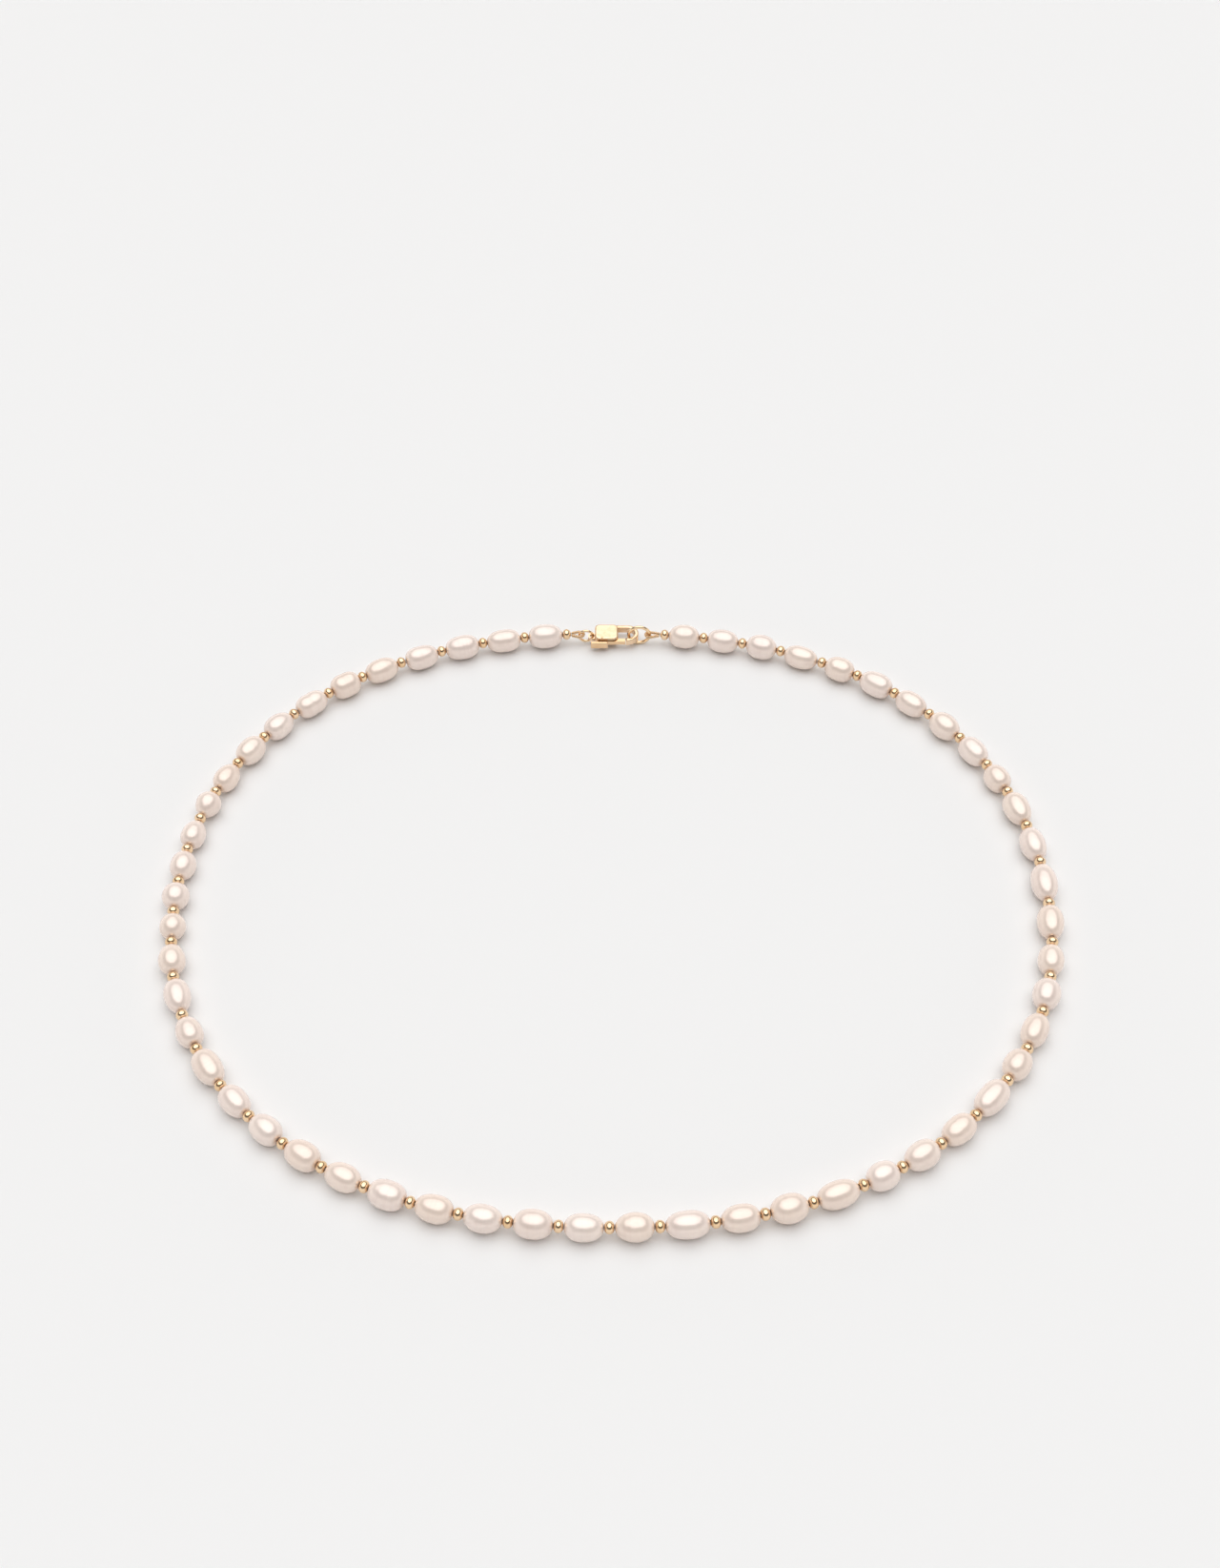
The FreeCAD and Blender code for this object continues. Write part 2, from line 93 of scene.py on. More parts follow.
def solids(name):
    """Each closed solid of a CAD node: its middle, its axes and its corners."""
    mesh = frame["nodes"][name].data
    mesh.calc_loop_triangles()
    places = np.empty(len(mesh.vertices) * 3)
    mesh.vertices.foreach_get("co", places)
    places = places.reshape(-1, 3)
    corners = np.empty(len(mesh.loop_triangles) * 3, int)
    mesh.loop_triangles.foreach_get("vertices", corners)
    corners = corners.reshape(-1, 3)
    weld = 1e-6
    welded = np.round(places / weld)
    same = np.unique(welded, axis=0, return_inverse=True)[1].ravel()
    joined = same[corners]
    label = np.arange(same.max() + 1)
    while True:
        lower = label.copy()
        np.minimum.at(lower, joined.ravel(), np.repeat(label[joined].min(axis=1), 3))
        lower = lower[lower]
        if (lower == label).all():
            break
        label = lower
    island = label[joined[:, 0]]
    found = []
    for number in np.unique(island):
        own = corners[island == number]
        points = places[np.unique(own)]
        start = points.mean(axis=0)
        a, b, c = (places[own[:, n]] - start for n in range(3))
        weight = np.einsum("ij,ij->i", a, np.cross(b, c))
        middle = (weight[:, None] * (a + b + c)).sum(axis=0) / 4 / weight.sum()
        moments = sum(
            np.einsum("i,ij,ik->jk", weight, one, one) for one in (a, b, c, a + b + c)
        )
        moments = moments / 20 / weight.sum() - np.outer(middle, middle)
        axes = np.linalg.eigh(moments)[1].T
        found.append((start + middle, axes, points))
    return found


def round_the_loop(place):
    """How far round the loop a place is: 0 at the clasp, then left, front and right."""
    return math.atan2(-place[0], place[1]) % TURN


def measured(name, axis_number):
    """The solids of a CAD node in stringing order, a row for each: how far round the loop,
    middle, the ways along the strand, across it and up, and the size in each way."""
    rows = []
    for middle, axes, points in solids(name):
        turn = round_the_loop(middle)
        ahead = Vector(axes[axis_number])
        if ahead.dot(Vector((-math.cos(turn), -math.sin(turn), 0))) < 0:
            ahead = -ahead
        side = UP.cross(ahead).normalized()
        top = ahead.cross(side)
        from_middle = points - middle
        sizes = [np.ptp(from_middle @ np.array(way)) for way in (ahead, side, top)]
        along = from_middle @ np.array(ahead)
        centre = Vector(middle) + ahead * float((along.max() + along.min()) / 2)
        rows.append((turn, centre, ahead, side, top, *sizes))
    return sorted(rows, key=lambda row: row[0])


# ---------------------------------------------------------------- making pieces


def piece(name, places, faces, material, body, cad_nodes, marks=None):
    """A mesh that rides on a body and stands for CAD nodes."""
    mesh = bpy.data.meshes.new(name)
    mesh.from_pydata([tuple(p) for p in places], [], faces)
    for mark, values in (marks or {}).items():
        layer = mesh.attributes.new(mark, "FLOAT", "POINT")
        layer.data.foreach_set("value", np.asarray(values, np.float32))
    mesh.shade_smooth()
    mesh.materials.append(material)
    made = bpy.data.objects.new(name, mesh)
    bpy.context.scene.collection.objects.link(made)
    if body:
        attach(made, body)
    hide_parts(*cad_nodes)
    return made


def grid_faces(rows, around, start=0, closed=False):
    """Quads between rings of points, the rings closed on themselves, and the last ring
    joined to the first where the whole is closed."""
    faces = []
    for i in range(rows if closed else rows - 1):
        one, other = start + i * around, start + (i + 1) % rows * around
        for j in range(around):
            k = (j + 1) % around
            faces.append((one + j, other + j, other + k, one + k))
    return faces


def tube(points, radius, sides, closed=False, lobes=0, twist=0.0):
    """Rings of points round a line, kept from twisting, or twisted with shallow plies."""
    points = [Vector(p) for p in points]
    count, up, rings, run = len(points), UP, [], 0.0
    groove = 0.16
    for n, here in enumerate(points):
        before = points[n - 1] if n or closed else here
        after = points[(n + 1) % count] if n < count - 1 or closed else here
        ahead = (after - before).normalized()
        up = (up - ahead * up.dot(ahead)).normalized()
        side = ahead.cross(up)
        run += (here - points[n - 1]).length if n else 0
        for j in range(sides):
            angle = TURN * j / sides
            ply = 1 - groove * (1 - math.cos(lobes * angle)) / 2 if lobes else 1
            turned = angle + twist * run
            way = side * math.cos(turned) + up * math.sin(turned)
            rings.append(here + way * radius * ply)
    faces = grid_faces(count, sides, closed=closed)
    if not closed:
        faces.append(tuple(range(sides)))
        faces.append(tuple(reversed(range((count - 1) * sides, count * sides))))
    return rings, faces


def smooth_line(points, step):
    """Evenly spaced points on a smooth curve through some points."""
    points = [Vector(p) for p in points]
    ends = [2 * points[0] - points[1]] + points + [2 * points[-1] - points[-2]]
    line = []
    for a, b, c, d in zip(ends, ends[1:], ends[2:], ends[3:]):
        steps = max(2, round((c - b).length / step))
        for n in range(steps):
            t = n / steps
            line.append(
                b
                + (c - a) * (t / 2)
                + (2 * a - 5 * b + 4 * c - d) * (t * t / 2)
                + (3 * (b - c) + d - a) * (t**3 / 2)
            )
    return line + [points[-1]]


# ---------------------------------------------------------------- materials


def material(name):
    """A new node material with its Principled shader."""
    made = bpy.data.materials.new(name)
    made.use_nodes = True
    return made, made.node_tree, made.node_tree.nodes["Principled BSDF"]


def add(tree, kind, inputs=(), **settings):
    """A node with its settings and its linked or plain inputs."""
    made = tree.nodes.new(kind)
    for key, value in settings.items():
        setattr(made, key, value)
    for key, value in dict(inputs).items():
        if isinstance(value, bpy.types.NodeSocket):
            tree.links.new(value, made.inputs[key])
        else:
            made.inputs[key].default_value = value
    return made


def stops(ramp, *marks):
    """Sets the colours of a ramp."""
    bar = ramp.color_ramp
    while len(bar.elements) < len(marks):
        bar.elements.new(0.5)
    for element, (at, colour) in zip(bar.elements, marks):
        element.position = at
        element.color = (*colour, 1)
    return ramp.outputs["Color"]


def noise_of(tree, scale, detail=3.0, roughness=0.5, coordinates=None):
    """Noise over the object, its scale in waves per metre."""
    where = coordinates or add(tree, "ShaderNodeTexCoord").outputs["Object"]
    made = add(
        tree,
        "ShaderNodeTexNoise",
        {"Vector": where, "Scale": scale, "Detail": detail, "Roughness": roughness},
    )
    return made.outputs["Fac"]


def spread(tree, value, low, high):
    """Spreads a value from 0 to 1 over a range."""
    made = add(tree, "ShaderNodeMapRange", {"Value": value, "To Min": low, "To Max": high})
    return made.outputs["Result"]


def bumped(tree, shader, *layers):
    """Stacks bumps, each a height, a depth in metres and a strength."""
    normal = None
    for height, depth, strength in layers:
        inputs = {"Height": height, "Distance": depth, "Strength": strength}
        if normal:
            inputs["Normal"] = normal
        normal = add(tree, "ShaderNodeBump", inputs).outputs["Normal"]
    tree.links.new(normal, shader.inputs["Normal"])


def mixed(tree, blend, factor, one, other):
    """Two colours mixed. The node's inputs 0, 6 and 7 are its factor and its colours."""
    made = add(tree, "ShaderNodeMix", data_type="RGBA", blend_type=blend)
    for number, value in ((0, factor), (6, one), (7, other)):
        socket = made.inputs[number]
        if isinstance(value, bpy.types.NodeSocket):
            tree.links.new(value, socket)
        else:
            socket.default_value = value
    return made.outputs[2]


def nacre():
    """Satin freshwater nacre: clouded cream and pink layers under a soft clear skin."""
    made, tree, shader = material("nacre")
    tone = add(tree, "ShaderNodeAttribute", attribute_name="tone").outputs["Fac"]
    along = add(tree, "ShaderNodeAttribute", attribute_name="along").outputs["Fac"]
    cream = stops(
        add(tree, "ShaderNodeValToRGB", {"Fac": tone}),
        (0.0, (0.93, 0.80, 0.705)),
        (0.35, (0.935, 0.82, 0.735)),
        (0.7, (0.935, 0.825, 0.76)),
        (1.0, (0.94, 0.84, 0.775)),
    )
    clouds = noise_of(tree, 420, 4, 0.55)
    cloud_colour = stops(
        add(tree, "ShaderNodeValToRGB", {"Fac": clouds}),
        (0.3, (0.945, 0.915, 0.905)),
        (0.5, (0.98, 0.97, 0.965)),
        (0.7, (1.0, 0.99, 0.97)),
    )
    base = mixed(tree, "MULTIPLY", 1.0, cream, cloud_colour)
    # Growth lines run round the pearl: each is a thin, faintly darker band.
    wander = spread(tree, noise_of(tree, 260, 2), -0.06, 0.06)
    where = add(tree, "ShaderNodeMath", {0: along, 1: wander}, operation="ADD").outputs[0]
    apart = 37.0
    own = add(tree, "ShaderNodeMath", {0: tone, 1: apart}, operation="MULTIPLY").outputs[0]
    place = add(tree, "ShaderNodeCombineXYZ", {"X": where, "Y": own}).outputs[0]
    growth = noise_of(tree, 7.0, 3, 0.6, place)
    band = stops(
        add(tree, "ShaderNodeValToRGB", {"Fac": growth}),
        (0.36, (0.93, 0.885, 0.87)),
        (0.5, (1.0, 1.0, 1.0)),
        (0.64, (0.975, 0.96, 0.95)),
    )
    base = mixed(tree, "MULTIPLY", 0.3, base, band)
    # The drilled ends and the insides of the bores are painted darker: painted shade in the holes and where each
    # pearl meets its bead.
    far = add(tree, "ShaderNodeMath", {0: along}, operation="ABSOLUTE").outputs[0]
    ends = stops(
        add(tree, "ShaderNodeValToRGB", {"Fac": far}),
        (0.9, (1.0, 1.0, 1.0)),
        (0.98, (0.88, 0.80, 0.74)),
    )
    base = mixed(tree, "MULTIPLY", 1.0, base, ends)
    tree.links.new(base, shader.inputs["Base Color"])
    rough = spread(tree, noise_of(tree, 900, 3), 0.17, 0.27)
    tree.links.new(rough, shader.inputs["Roughness"])
    # The stacked platelets send back far more light than plain glass of the same index.
    shader.inputs["Metallic"].default_value = 0.2
    shader.inputs["IOR"].default_value = 1.6
    shader.inputs["Coat Weight"].default_value = 0.45
    shader.inputs["Coat Roughness"].default_value = 0.1
    shader.inputs["Coat IOR"].default_value = 1.6
    shader.inputs["Coat Tint"].default_value = (1.0, 0.965, 0.955, 1)
    bumped(
        tree,
        shader,
        (growth, 0.00004, 0.1),
        (noise_of(tree, 700, 3), 0.00003, 0.12),
        (noise_of(tree, 3600, 2), 0.000005, 0.1),
    )
    return made


def gold(name, colour, low, high, scratch, stretch=(1, 1, 1)):
    """Polished gold, its shine broken by handling marks and fine polishing lines."""
    made, tree, shader = material(name)
    where = add(tree, "ShaderNodeTexCoord").outputs["Object"]
    lines = add(tree, "ShaderNodeMapping", {"Vector": where, "Scale": stretch}).outputs[0]
    stain = noise_of(tree, 500, 4, 0.6, where)
    deep = tuple(c * f for c, f in zip(colour, (0.93, 0.87, 0.78)))
    pale = tuple(min(1.0, c * f) for c, f in zip(colour, (1.02, 1.04, 1.1)))
    colours = stops(
        add(tree, "ShaderNodeValToRGB", {"Fac": stain}),
        (0.32, deep),
        (0.52, colour),
        (0.72, pale),
    )
    # Hollows and corners are painted darker from the surface's curvature, a painted shade; the proud edges keep
    # the plain gold.
    bent = add(tree, "ShaderNodeNewGeometry").outputs["Pointiness"]
    hollow_shade = stops(
        add(tree, "ShaderNodeValToRGB", {"Fac": bent}),
        (0.42, (0.80, 0.68, 0.55)),
        (0.5, (1.0, 1.0, 1.0)),
        (0.6, (1.0, 1.0, 1.0)),
    )
    tree.links.new(mixed(tree, "MULTIPLY", 0.7, colours, hollow_shade), shader.inputs["Base Color"])
    shader.inputs["Metallic"].default_value = 1.0
    fine = noise_of(tree, 6000, 3, 0.65, lines)
    soft = noise_of(tree, 800, 2, 0.5, where)
    both = add(tree, "ShaderNodeMath", {0: fine, 1: soft}, operation="MULTIPLY").outputs[0]
    tree.links.new(spread(tree, both, low, high), shader.inputs["Roughness"])
    bumped(
        tree,
        shader,
        (soft, 0.000005, scratch),
        (fine, 0.000003, scratch),
    )
    return made


def silk():
    """Cream silk beading cord: fine fibres along the plies."""
    made, tree, shader = material("silk")
    where = add(tree, "ShaderNodeTexCoord").outputs["Object"]
    fibres = noise_of(tree, 9000, 3, 0.6, where)
    colours = stops(
        add(tree, "ShaderNodeValToRGB", {"Fac": fibres}),
        (0.3, (0.62, 0.54, 0.45)),
        (0.55, (0.80, 0.73, 0.64)),
        (0.8, (0.88, 0.83, 0.76)),
    )
    tree.links.new(colours, shader.inputs["Base Color"])
    tree.links.new(spread(tree, fibres, 0.55, 0.8), shader.inputs["Roughness"])
    shader.inputs["Sheen Weight"].default_value = 0.4
    shader.inputs["Sheen Roughness"].default_value = 0.35
    bumped(tree, shader, (fibres, 0.00002, 0.5))
    return made


def steel():
    """Drawn spring wire with faint lines and heat colour."""
    made, tree, shader = material("spring_steel")
    where = add(tree, "ShaderNodeTexCoord").outputs["Object"]
    lines = add(tree, "ShaderNodeMapping", {"Vector": where, "Scale": (1, 6, 6)}).outputs[0]
    drawn = noise_of(tree, 4000, 3, 0.6, lines)
    colours = stops(
        add(tree, "ShaderNodeValToRGB", {"Fac": drawn}),
        (0.3, (0.42, 0.40, 0.37)),
        (0.6, (0.60, 0.58, 0.54)),
        (0.8, (0.68, 0.66, 0.62)),
    )
    tree.links.new(colours, shader.inputs["Base Color"])
    shader.inputs["Metallic"].default_value = 1.0
    tree.links.new(spread(tree, drawn, 0.22, 0.45), shader.inputs["Roughness"])
    bumped(tree, shader, (drawn, 0.000004, 0.4))
    return made


NACRE = nacre()
BEAD_GOLD = gold("bead_gold", (0.90, 0.66, 0.42), 0.07, 0.26, 0.12)
CLASP_GOLD = gold("clasp_gold", (0.89, 0.66, 0.45), 0.12, 0.40, 0.12, (1, 8, 1))
# The lever and its pin take a darker, deeper copy of the clasp's gold: painted shade on the lever tab.
SHADED_LEVER_GOLD = gold("lever_gold_shaded", (0.84, 0.59, 0.36), 0.12, 0.40, 0.14, (1, 8, 1))
RING_GOLD = gold("ring_gold", (0.92, 0.69, 0.44), 0.08, 0.30, 0.12)
WIRE_GOLD = gold("wire_gold", (0.90, 0.66, 0.41), 0.12, 0.34, 0.15)
SILK = silk()
STEEL = steel()


# ---------------------------------------------------------------- pearls

AROUND = 48
OUTER_ROWS = 34
BORE = 0.42 * MM
MOUTH = 0.45 * MM
MOUTH_DEPTH = 0.1 * MM
# How the pearls of each arc grew: how blunt the ends are, from least to most, how much one
# end is slimmer, how lumpy the skin is, and how often a ring runs round them.
GROWTH = {
    "back_left": (2.1, 2.5, 0.06, 0.015, 0.6),
    "left_5": (2.15, 2.6, 0.07, 0.021, 0.6),
    "left_4": (2.0, 2.4, 0.10, 0.016, 0.3),
    "left_3": (1.9, 2.25, 0.15, 0.014, 0.2),
    "left_2": (2.05, 2.35, 0.08, 0.012, 0.3),
    "left_1": (2.1, 2.45, 0.06, 0.012, 0.4),
    "front": (2.0, 2.4, 0.06, 0.010, 0.4),
    "right_1": (2.1, 2.5, 0.06, 0.012, 0.3),
    "right_2": (2.0, 2.35, 0.09, 0.013, 0.3),
    "right_3": (2.0, 2.3, 0.08, 0.012, 0.2),
    "right_4": (2.05, 2.4, 0.07, 0.012, 0.3),
    "right_5": (2.1, 2.45, 0.05, 0.012, 0.4),
    "back_right": (2.0, 2.35, 0.05, 0.008, 0.5),
}
dice = random.Random(1955)


def pearl_mesh(row, growth):
    """One pearl's points and where they lie along it, from -1 to 1. The drilled mouths
    stay where the CAD has them, and the pearl rests on the table."""
    _, centre, ahead, side, top, length, width, height = row
    blunt_low, blunt_high, taper, lumps, ring_share = growth
    blunt = [dice.uniform(blunt_low, blunt_high) for _ in range(2)]
    slim = dice.uniform(-taper, taper)
    bow = dice.uniform(-0.06, 0.06) * MM
    seed = Vector([dice.uniform(0, 50) for _ in range(3)])
    roll = dice.uniform(0, TURN)
    grooves = [
        (dice.uniform(-0.6, 0.6), dice.uniform(0.05, 0.11), dice.uniform(0.004, 0.014))
        for _ in range(2)
        if dice.random() < ring_share
    ]
    waist = dice.uniform(0.02, 0.05) if lumps > 0.02 and dice.random() < 0.4 else 0
    waist_reach = 0.3
    half, wide = length / 2, width / 2
    first = math.atan2(MOUTH, half)
    profile = []
    for n in range(OUTER_ROWS):
        turn = first + (math.pi - 2 * first) * n / (OUTER_ROWS - 1)
        ratio = (1 - math.cos(turn)) / 2
        power = blunt[0] + (blunt[1] - blunt[0]) * ratio
        end = half / (1 - (MOUTH / wide) ** power) ** (1 / power)
        reach = abs(math.cos(turn) / end) ** power + (math.sin(turn) / wide) ** power
        reach = reach ** (-1 / power)
        x, r = reach * math.cos(turn), reach * math.sin(turn)
        s = max(-1.0, min(1.0, x / half))
        r *= 1 + slim * s - abs(slim) * 0.5
        r *= 1 - waist * math.exp(-((s / waist_reach) ** 2))
        for at, broad, deep in grooves:
            r *= 1 - deep * math.exp(-(((s - at) / broad) ** 2))
        profile.append((s * half, r, s))
    profile.append((-half + MOUTH_DEPTH, BORE, -1.0))
    profile.append((half - MOUTH_DEPTH, BORE, 1.0))
    squash = height / width
    stretch, broad_scale, small_scale, small_share = 1.3, 1.1, 3.1, 0.35
    places, along = [], []
    for n, (x, r, s) in enumerate(profile):
        outside = n < OUTER_ROWS
        for j in range(AROUND):
            angle = TURN * j / AROUND + roll
            across, rise = math.cos(angle), math.sin(angle)
            here = r
            if outside:
                way = Vector((s * stretch, across, rise))
                broad = noise.noise(way * broad_scale + seed)
                small = noise.noise(way * small_scale + seed)
                swell = lumps * broad + lumps * small_share * small
                here *= 1 + swell * (1 - abs(s) ** 3)
            place = ahead * x + side * (here * across + bow * (1 - s * s))
            places.append(centre + place + top * (here * rise * squash))
            along.append(s)
    low = min(place.z for place in places)
    for place in places:
        if place.z < centre.z:
            place.z = centre.z - (centre.z - place.z) * centre.z / (centre.z - low)
    return places, along


def pearls(arc):
    """The pearls of one arc, as one piece."""
    places, faces, along, tone = [], [], [], []
    rows = OUTER_ROWS + 2
    name = f"pearls_{arc}"
    for row in measured(name, LONGEST):
        start = len(places)
        more, marks = pearl_mesh(row, GROWTH[arc])
        places += more
        along += marks
        tone += [dice.random()] * len(more)
        faces += grid_faces(rows, AROUND, start, closed=True)
    marks = {"along": along, "tone": tone}
    piece(f"nacre_{arc}", places, faces, NACRE, HOME[name], [name], marks)


# ---------------------------------------------------------------- gold beads

BEAD_AROUND = 36
BEAD_ROWS = 19
BEAD_HOLE = 0.4 * MM
LIP = 0.06 * MM
# The rolled lip, as steps inward along the hole and out from its wall, in lip widths.
ROLL = ((0.25, 0.35), (0.9, 0.02), (2.2, 0.0))
DENT = 0.012


def beads(arc):
    """The spacer beads of one arc: flattened rounds with rolled mouths."""
    places, faces = [], []
    name = f"spacer_beads_{arc}"
    for row in measured(name, SHORTEST):
        _, centre, ahead, side, top, length, width, height = row
        wide, half = (width + height) / 4, length / 2
        power = dice.uniform(2.0, 2.2)
        rim = BEAD_HOLE + LIP
        end = half / (1 - (rim / wide) ** power) ** (1 / power)
        first = math.atan2(rim, half)
        profile = []
        for n in range(BEAD_ROWS):
            turn = first + (math.pi - 2 * first) * n / (BEAD_ROWS - 1)
            reach = abs(math.cos(turn) / end) ** power + (math.sin(turn) / wide) ** power
            reach = reach ** (-1 / power)
            profile.append((reach * math.cos(turn), reach * math.sin(turn)))
        for sign in (-1, 1):
            for inward, out in ROLL if sign < 0 else ROLL[::-1]:
                profile.append((sign * (half - inward * LIP), BEAD_HOLE + out * LIP))
        start = len(places)
        seed = Vector([dice.uniform(0, 50) for _ in range(3)])
        for n, (x, r) in enumerate(profile):
            for j in range(BEAD_AROUND):
                angle = TURN * j / BEAD_AROUND
                way = Vector((x / half, math.cos(angle), math.sin(angle)))
                swell = 1 + DENT * noise.noise(way * 1.2 + seed) * (n < BEAD_ROWS)
                across = side * (r * swell * math.cos(angle))
                rise = top * (r * swell * math.sin(angle))
                places.append(centre + ahead * x + across + rise)
        faces += grid_faces(len(profile), BEAD_AROUND, start, closed=True)
    piece(f"gold_rounds_{arc}", places, faces, BEAD_GOLD, HOME[name], [name])


for arc in GROWTH:
    pearls(arc)
    beads(arc)


# ---------------------------------------------------------------- silk thread

THREAD = 0.16 * MM
THREAD_STEP = 0.3 * MM
LAY = TURN / (1.1 * MM)
JOINTS = {joint["child"]: joint for joint in frame["joints"]}


def cord_piece(name, line, cad_name):
    """A three-ply thread along a line, not yet riding on anything."""
    places, faces = tube(line, THREAD, 12, lobes=3, twist=LAY)
    return piece(name, places, faces, SILK, None, [cad_name])


def thread(arc):
    """The thread of one arc, from the middle of its fold's bead to the middle of its
    last own bead."""
    name, body = f"thread_{arc}", HOME[f"thread_{arc}"]
    rows = measured(f"pearls_{arc}", LONGEST) + measured(f"spacer_beads_{arc}", SHORTEST)
    line = [row[1] for row in sorted(rows, key=lambda row: row[0])]
    clasp_end = 3.7 * MM
    if arc == "back_left":
        line[0] = line[0] + (line[1] - line[0]).normalized() * clasp_end
        del line[1]
    if arc == "back_right":
        line[-1] = line[-1] + (line[-2] - line[-1]).normalized() * clasp_end
        del line[-2]
    fold = None
    if body != "root":
        fold = Vector(JOINTS[body]["pos_m"])
        line = line + [fold] if arc.endswith("left") or "left_" in arc else [fold] + line
    made = cord_piece(f"silk_{arc}", smooth_line(line, THREAD_STEP), name)
    if fold is None:
        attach(made, body)
        return
    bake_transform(made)


for arc in GROWTH:
    thread(arc)


# ---------------------------------------------------------------- French wire ends


def wire_route(side):
    """The line of a French wire loop and of the doubled thread in it, read off the CAD
    tube's box, with the middle of the end bead, the way from it into the strand, and the
    side's sign. The end bead sits on the loop's open side."""
    low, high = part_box(f"gimp_{side}")
    width, bend = 0.6 * MM, 0.7 * MM
    foot_reach, foot_aside = 1.05 * MM, 0.31 * MM
    steps = 24
    sign = 1 if side == "left" else -1
    tip = high.x if sign > 0 else low.x
    centre = (low + high) / 2
    centre.x = tip - sign * (bend + width / 2)
    arc = "back_left" if side == "left" else "back_right"
    ends = measured(f"spacer_beads_{arc}", SHORTEST)
    bead = ends[0][1] if sign > 0 else ends[-1][1]
    pearl_ends = measured(f"pearls_{arc}", LONGEST)
    pearl = pearl_ends[0][1] if sign > 0 else pearl_ends[-1][1]
    foot = Vector((bead.x + sign * foot_reach, centre.y + foot_aside, centre.z))
    reach = foot - centre
    opening = math.acos(bend / reach.length)
    first = math.atan2(reach.y, reach.x) - sign * opening
    sweep = math.atan2(-reach.y, reach.x) + sign * opening
    turned = (sweep - first) % TURN if sign < 0 else -((first - sweep) % TURN)
    coil = [foot]
    for n in range(steps + 1):
        angle = first + turned * n / steps
        coil.append(centre + Vector((math.cos(angle), math.sin(angle), 0)) * bend)
    coil.append(Vector((foot.x, 2 * centre.y - foot.y, foot.z)))
    return coil, bead, (pearl - bead).normalized(), sign


def french_wire(side):
    """Fine gold wire wound close round the thread."""
    coil = wire_route(side)[0]
    step, wire, pitch, middle = 0.02 * MM, 0.095 * MM, 0.24 * MM, 0.245 * MM
    line = []
    for a, b in zip(coil, coil[1:]):
        steps = max(1, round((b - a).length / step))
        line += [a + (b - a) * n / steps for n in range(steps)]
    turns, run, winding = TURN / pitch, 0.0, []
    for n in range(1, len(line)):
        here, ahead = line[n], (line[n] - line[n - 1])
        run += ahead.length
        ahead.normalize()
        across = UP.cross(ahead)
        angle = run * turns
        winding.append(here + (across * math.cos(angle) + UP * math.sin(angle)) * middle)
    body = HOME[f"gimp_{side}"]
    places, faces = tube(winding, wire, 7)
    piece(f"french_wire_{side}", places, faces, WIRE_GOLD, body, [f"gimp_{side}"])


def doubled_thread(side):
    """The thread that runs through the wire and back into the pearl, and its knot."""
    coil, bead, into, sign = wire_route(side)
    apart, tail_reach, mouth_reach, step = 0.17 * MM, 2.5 * MM, 0.8 * MM, 0.12 * MM
    aside = UP.cross(into) * (-sign * apart)
    tail, mouth = bead + into * tail_reach, bead - into * mouth_reach
    out_of_strand = [tail + aside, bead + aside, mouth + aside]
    into_strand = [mouth - aside, bead - aside, tail - aside]
    line = smooth_line([*out_of_strand, *coil, *into_strand], step)
    name = f"thread_loop_{side}"
    made = cord_piece(f"silk_loop_{side}", line, name)
    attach(made, HOME[name])
    knot_centre = sum(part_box(f"thread_knot_{side}"), Vector()) / 2
    # A trefoil, which is an overhand knot with its ends joined.
    size, strand, depth, steps = 0.052 * MM, 0.085 * MM, 1.4, 72
    knot = []
    for n in range(steps):
        t = TURN * n / steps
        x, y = math.sin(t) + 2 * math.sin(2 * t), math.cos(t) - 2 * math.cos(2 * t)
        knot.append(knot_centre + Vector((-depth * math.sin(3 * t), x, y)) * size)
    places, faces = tube(knot, strand, 10, closed=True)
    name = f"thread_knot_{side}"
    piece(f"silk_knot_{side}", places, faces, SILK, HOME[name], [name])


for side in ("left", "right"):
    french_wire(side)
    doubled_thread(side)


# ---------------------------------------------------------------- rings and clasp


def wire_ring(cad_name, name, seam):
    """A ring bent from round wire and closed, with the faint swelling of its solder."""
    low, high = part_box(cad_name)
    centre, wire = (low + high) / 2, (high.y - low.y) / 2
    middle = (high.x - low.x) / 2 - wire
    rings, sides, places = 112, 20, []
    seam_width, solder, groove = 0.14 * MM, 0.018, 0.03
    for n in range(rings):
        angle = TURN * n / rings
        off_seam = math.sin((angle - seam) / 2) * 2 * middle / seam_width
        swell = solder * math.exp(-(off_seam**2)) - groove * math.exp(-((off_seam * 4) ** 2))
        out = Vector((math.cos(angle), 0, math.sin(angle)))
        thick = wire * (0.99 + swell)
        for k in range(sides):
            round_wire = TURN * k / sides
            reach = out * math.cos(round_wire) - Vector((0, 1, 0)) * math.sin(round_wire)
            places.append(centre + out * middle + reach * thick)
    faces = grid_faces(rings, sides, closed=True)
    piece(name, places, faces, RING_GOLD, HOME[cad_name], [cad_name])


wire_ring("tail_ring", "jump_ring", 2.1)
wire_ring("end_ring", "catch_ring", 0.5)

# The lever and its pin wear the darker gold, which is painted shade.
for name, finish in (
    ("clasp_body", CLASP_GOLD),
    ("clasp_lever", SHADED_LEVER_GOLD),
    ("lever_pin", SHADED_LEVER_GOLD),
):
    for held in frame["nodes"][name].material_slots:
        held.material = finish


def bending_spring():
    """The bent wire behind the lever, made from the CAD spring's own mesh."""
    mesh = frame["nodes"]["lever_spring"].data
    places = [vertex.co for vertex in mesh.vertices]
    faces = [tuple(face.vertices) for face in mesh.polygons]
    made = piece("gate_spring", places, faces, STEEL, None, ["lever_spring"])
    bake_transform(made)


bending_spring()


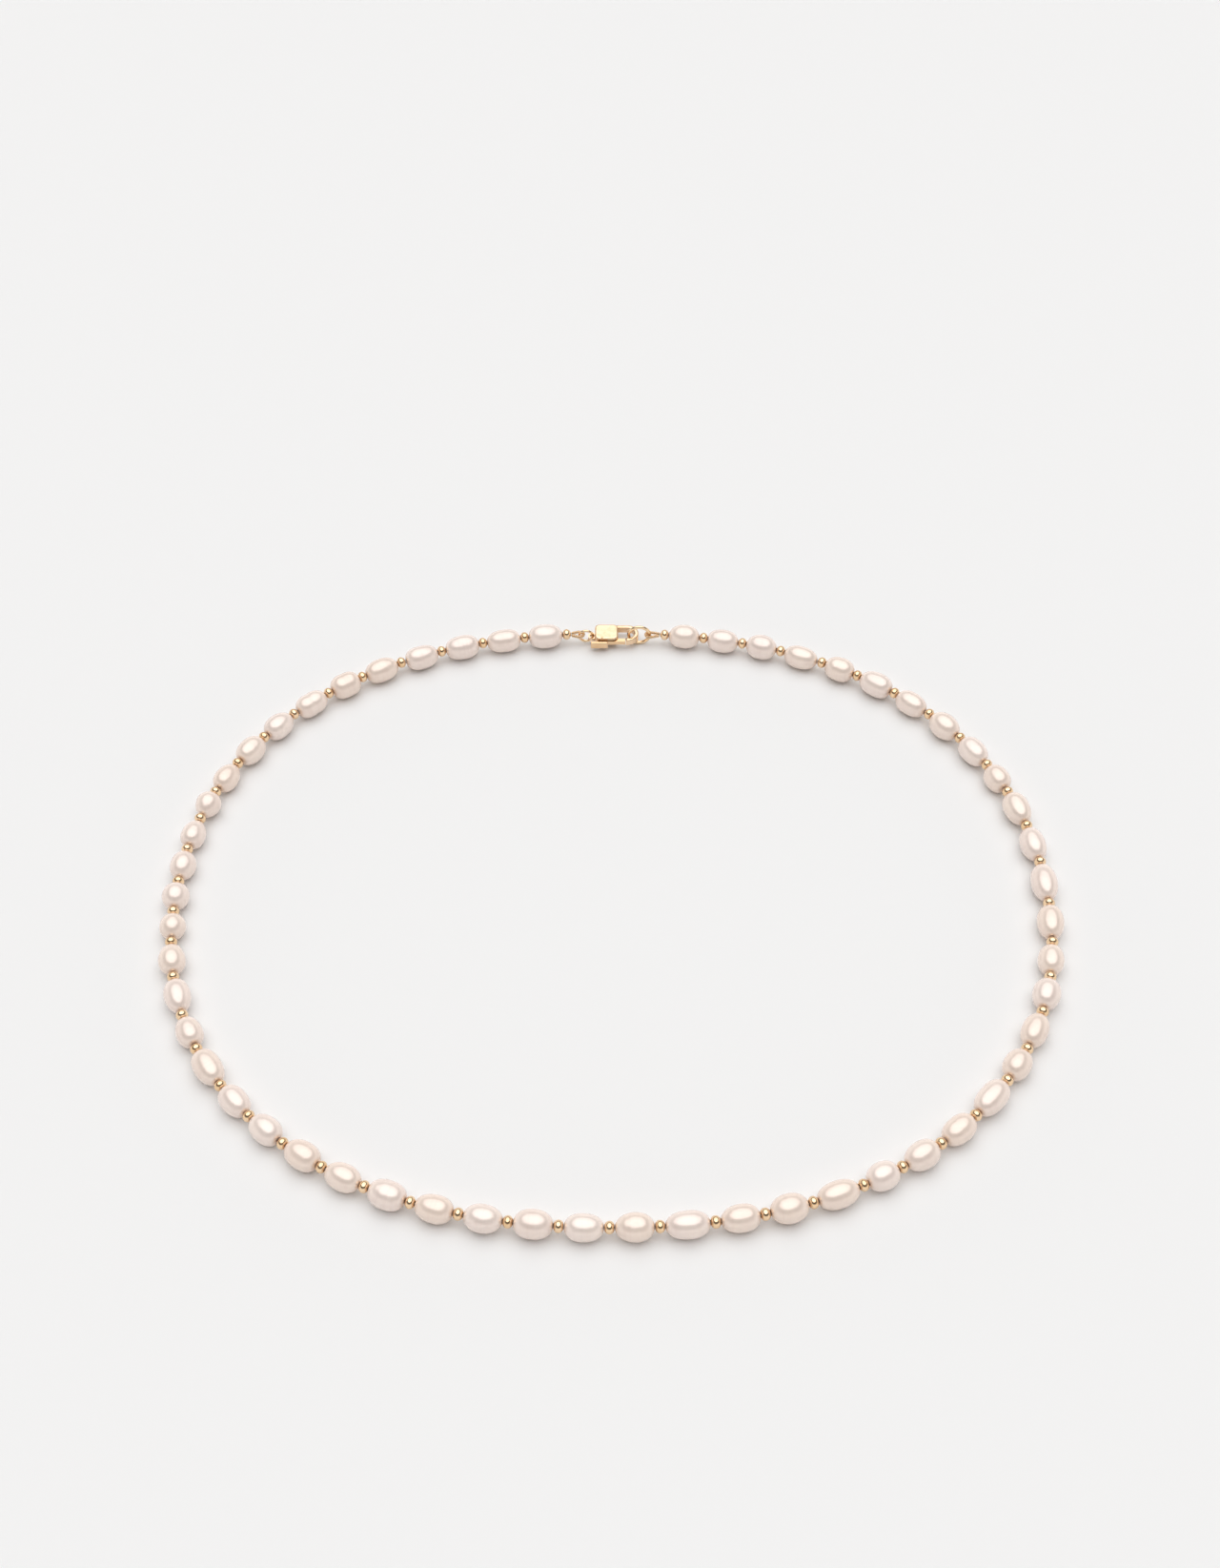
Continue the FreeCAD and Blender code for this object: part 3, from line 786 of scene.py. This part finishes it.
# ---------------------------------------------------------------- stage and light

reach = 4
corners = [(-reach, -reach, 0), (reach, -reach, 0), (reach, reach, 0), (-reach, reach, 0)]
floor_mesh = bpy.data.meshes.new("floor")
floor_mesh.from_pydata(corners, [], [(0, 1, 2, 3)])
floor = bpy.data.objects.new("floor", floor_mesh)
bpy.context.scene.collection.objects.link(floor)
paper, _, paper_shader = material("paper")
paper_shader.inputs["Base Color"].default_value = (0.86, 0.86, 0.86, 1)
paper_shader.inputs["Roughness"].default_value = 0.85
floor_mesh.materials.append(paper)

world = bpy.data.worlds.new("studio")
bpy.context.scene.world = world
world.use_nodes = True
sky = world.node_tree
direction = add(sky, "ShaderNodeTexCoord").outputs["Generated"]
height = add(sky, "ShaderNodeSeparateXYZ", {"Vector": direction}).outputs["Z"]
# Bright round the horizon and dark above it, which draws the band below each highlight.
glow = stops(
    add(sky, "ShaderNodeValToRGB", {"Fac": height}),
    (0.0, (1.0, 0.98, 0.96)),
    (0.3, (0.62, 0.60, 0.585)),
    (0.5, (0.13, 0.125, 0.12)),
    (0.8, (0.10, 0.095, 0.09)),
    (0.9, (0.55, 0.55, 0.55)),
)
# A broad soft light overhead, leaning back from the front pearl. It is far away, so the
# table is lit evenly.
lean, power, strength = math.radians(12), 1.26, 1.15
leaning = add(
    sky,
    "ShaderNodeVectorRotate",
    {"Vector": direction, "Angle": lean},
    rotation_type="X_AXIS",
).outputs[0]
overhead = add(sky, "ShaderNodeSeparateXYZ", {"Vector": leaning}).outputs["Z"]
lamp = stops(
    add(sky, "ShaderNodeValToRGB", {"Fac": overhead}),
    (0.69, (0, 0, 0)),
    (0.77, (1, 1, 1)),
)
strong = add(sky, "ShaderNodeVectorMath", {0: lamp, 3: power}, operation="SCALE").outputs[0]
light = add(sky, "ShaderNodeVectorMath", {0: glow, 1: strong}, operation="ADD").outputs[0]
background = sky.nodes["Background"]
sky.links.new(light, background.inputs["Color"])
background.inputs["Strength"].default_value = strength
bpy.context.scene.view_settings.view_transform = "Standard"
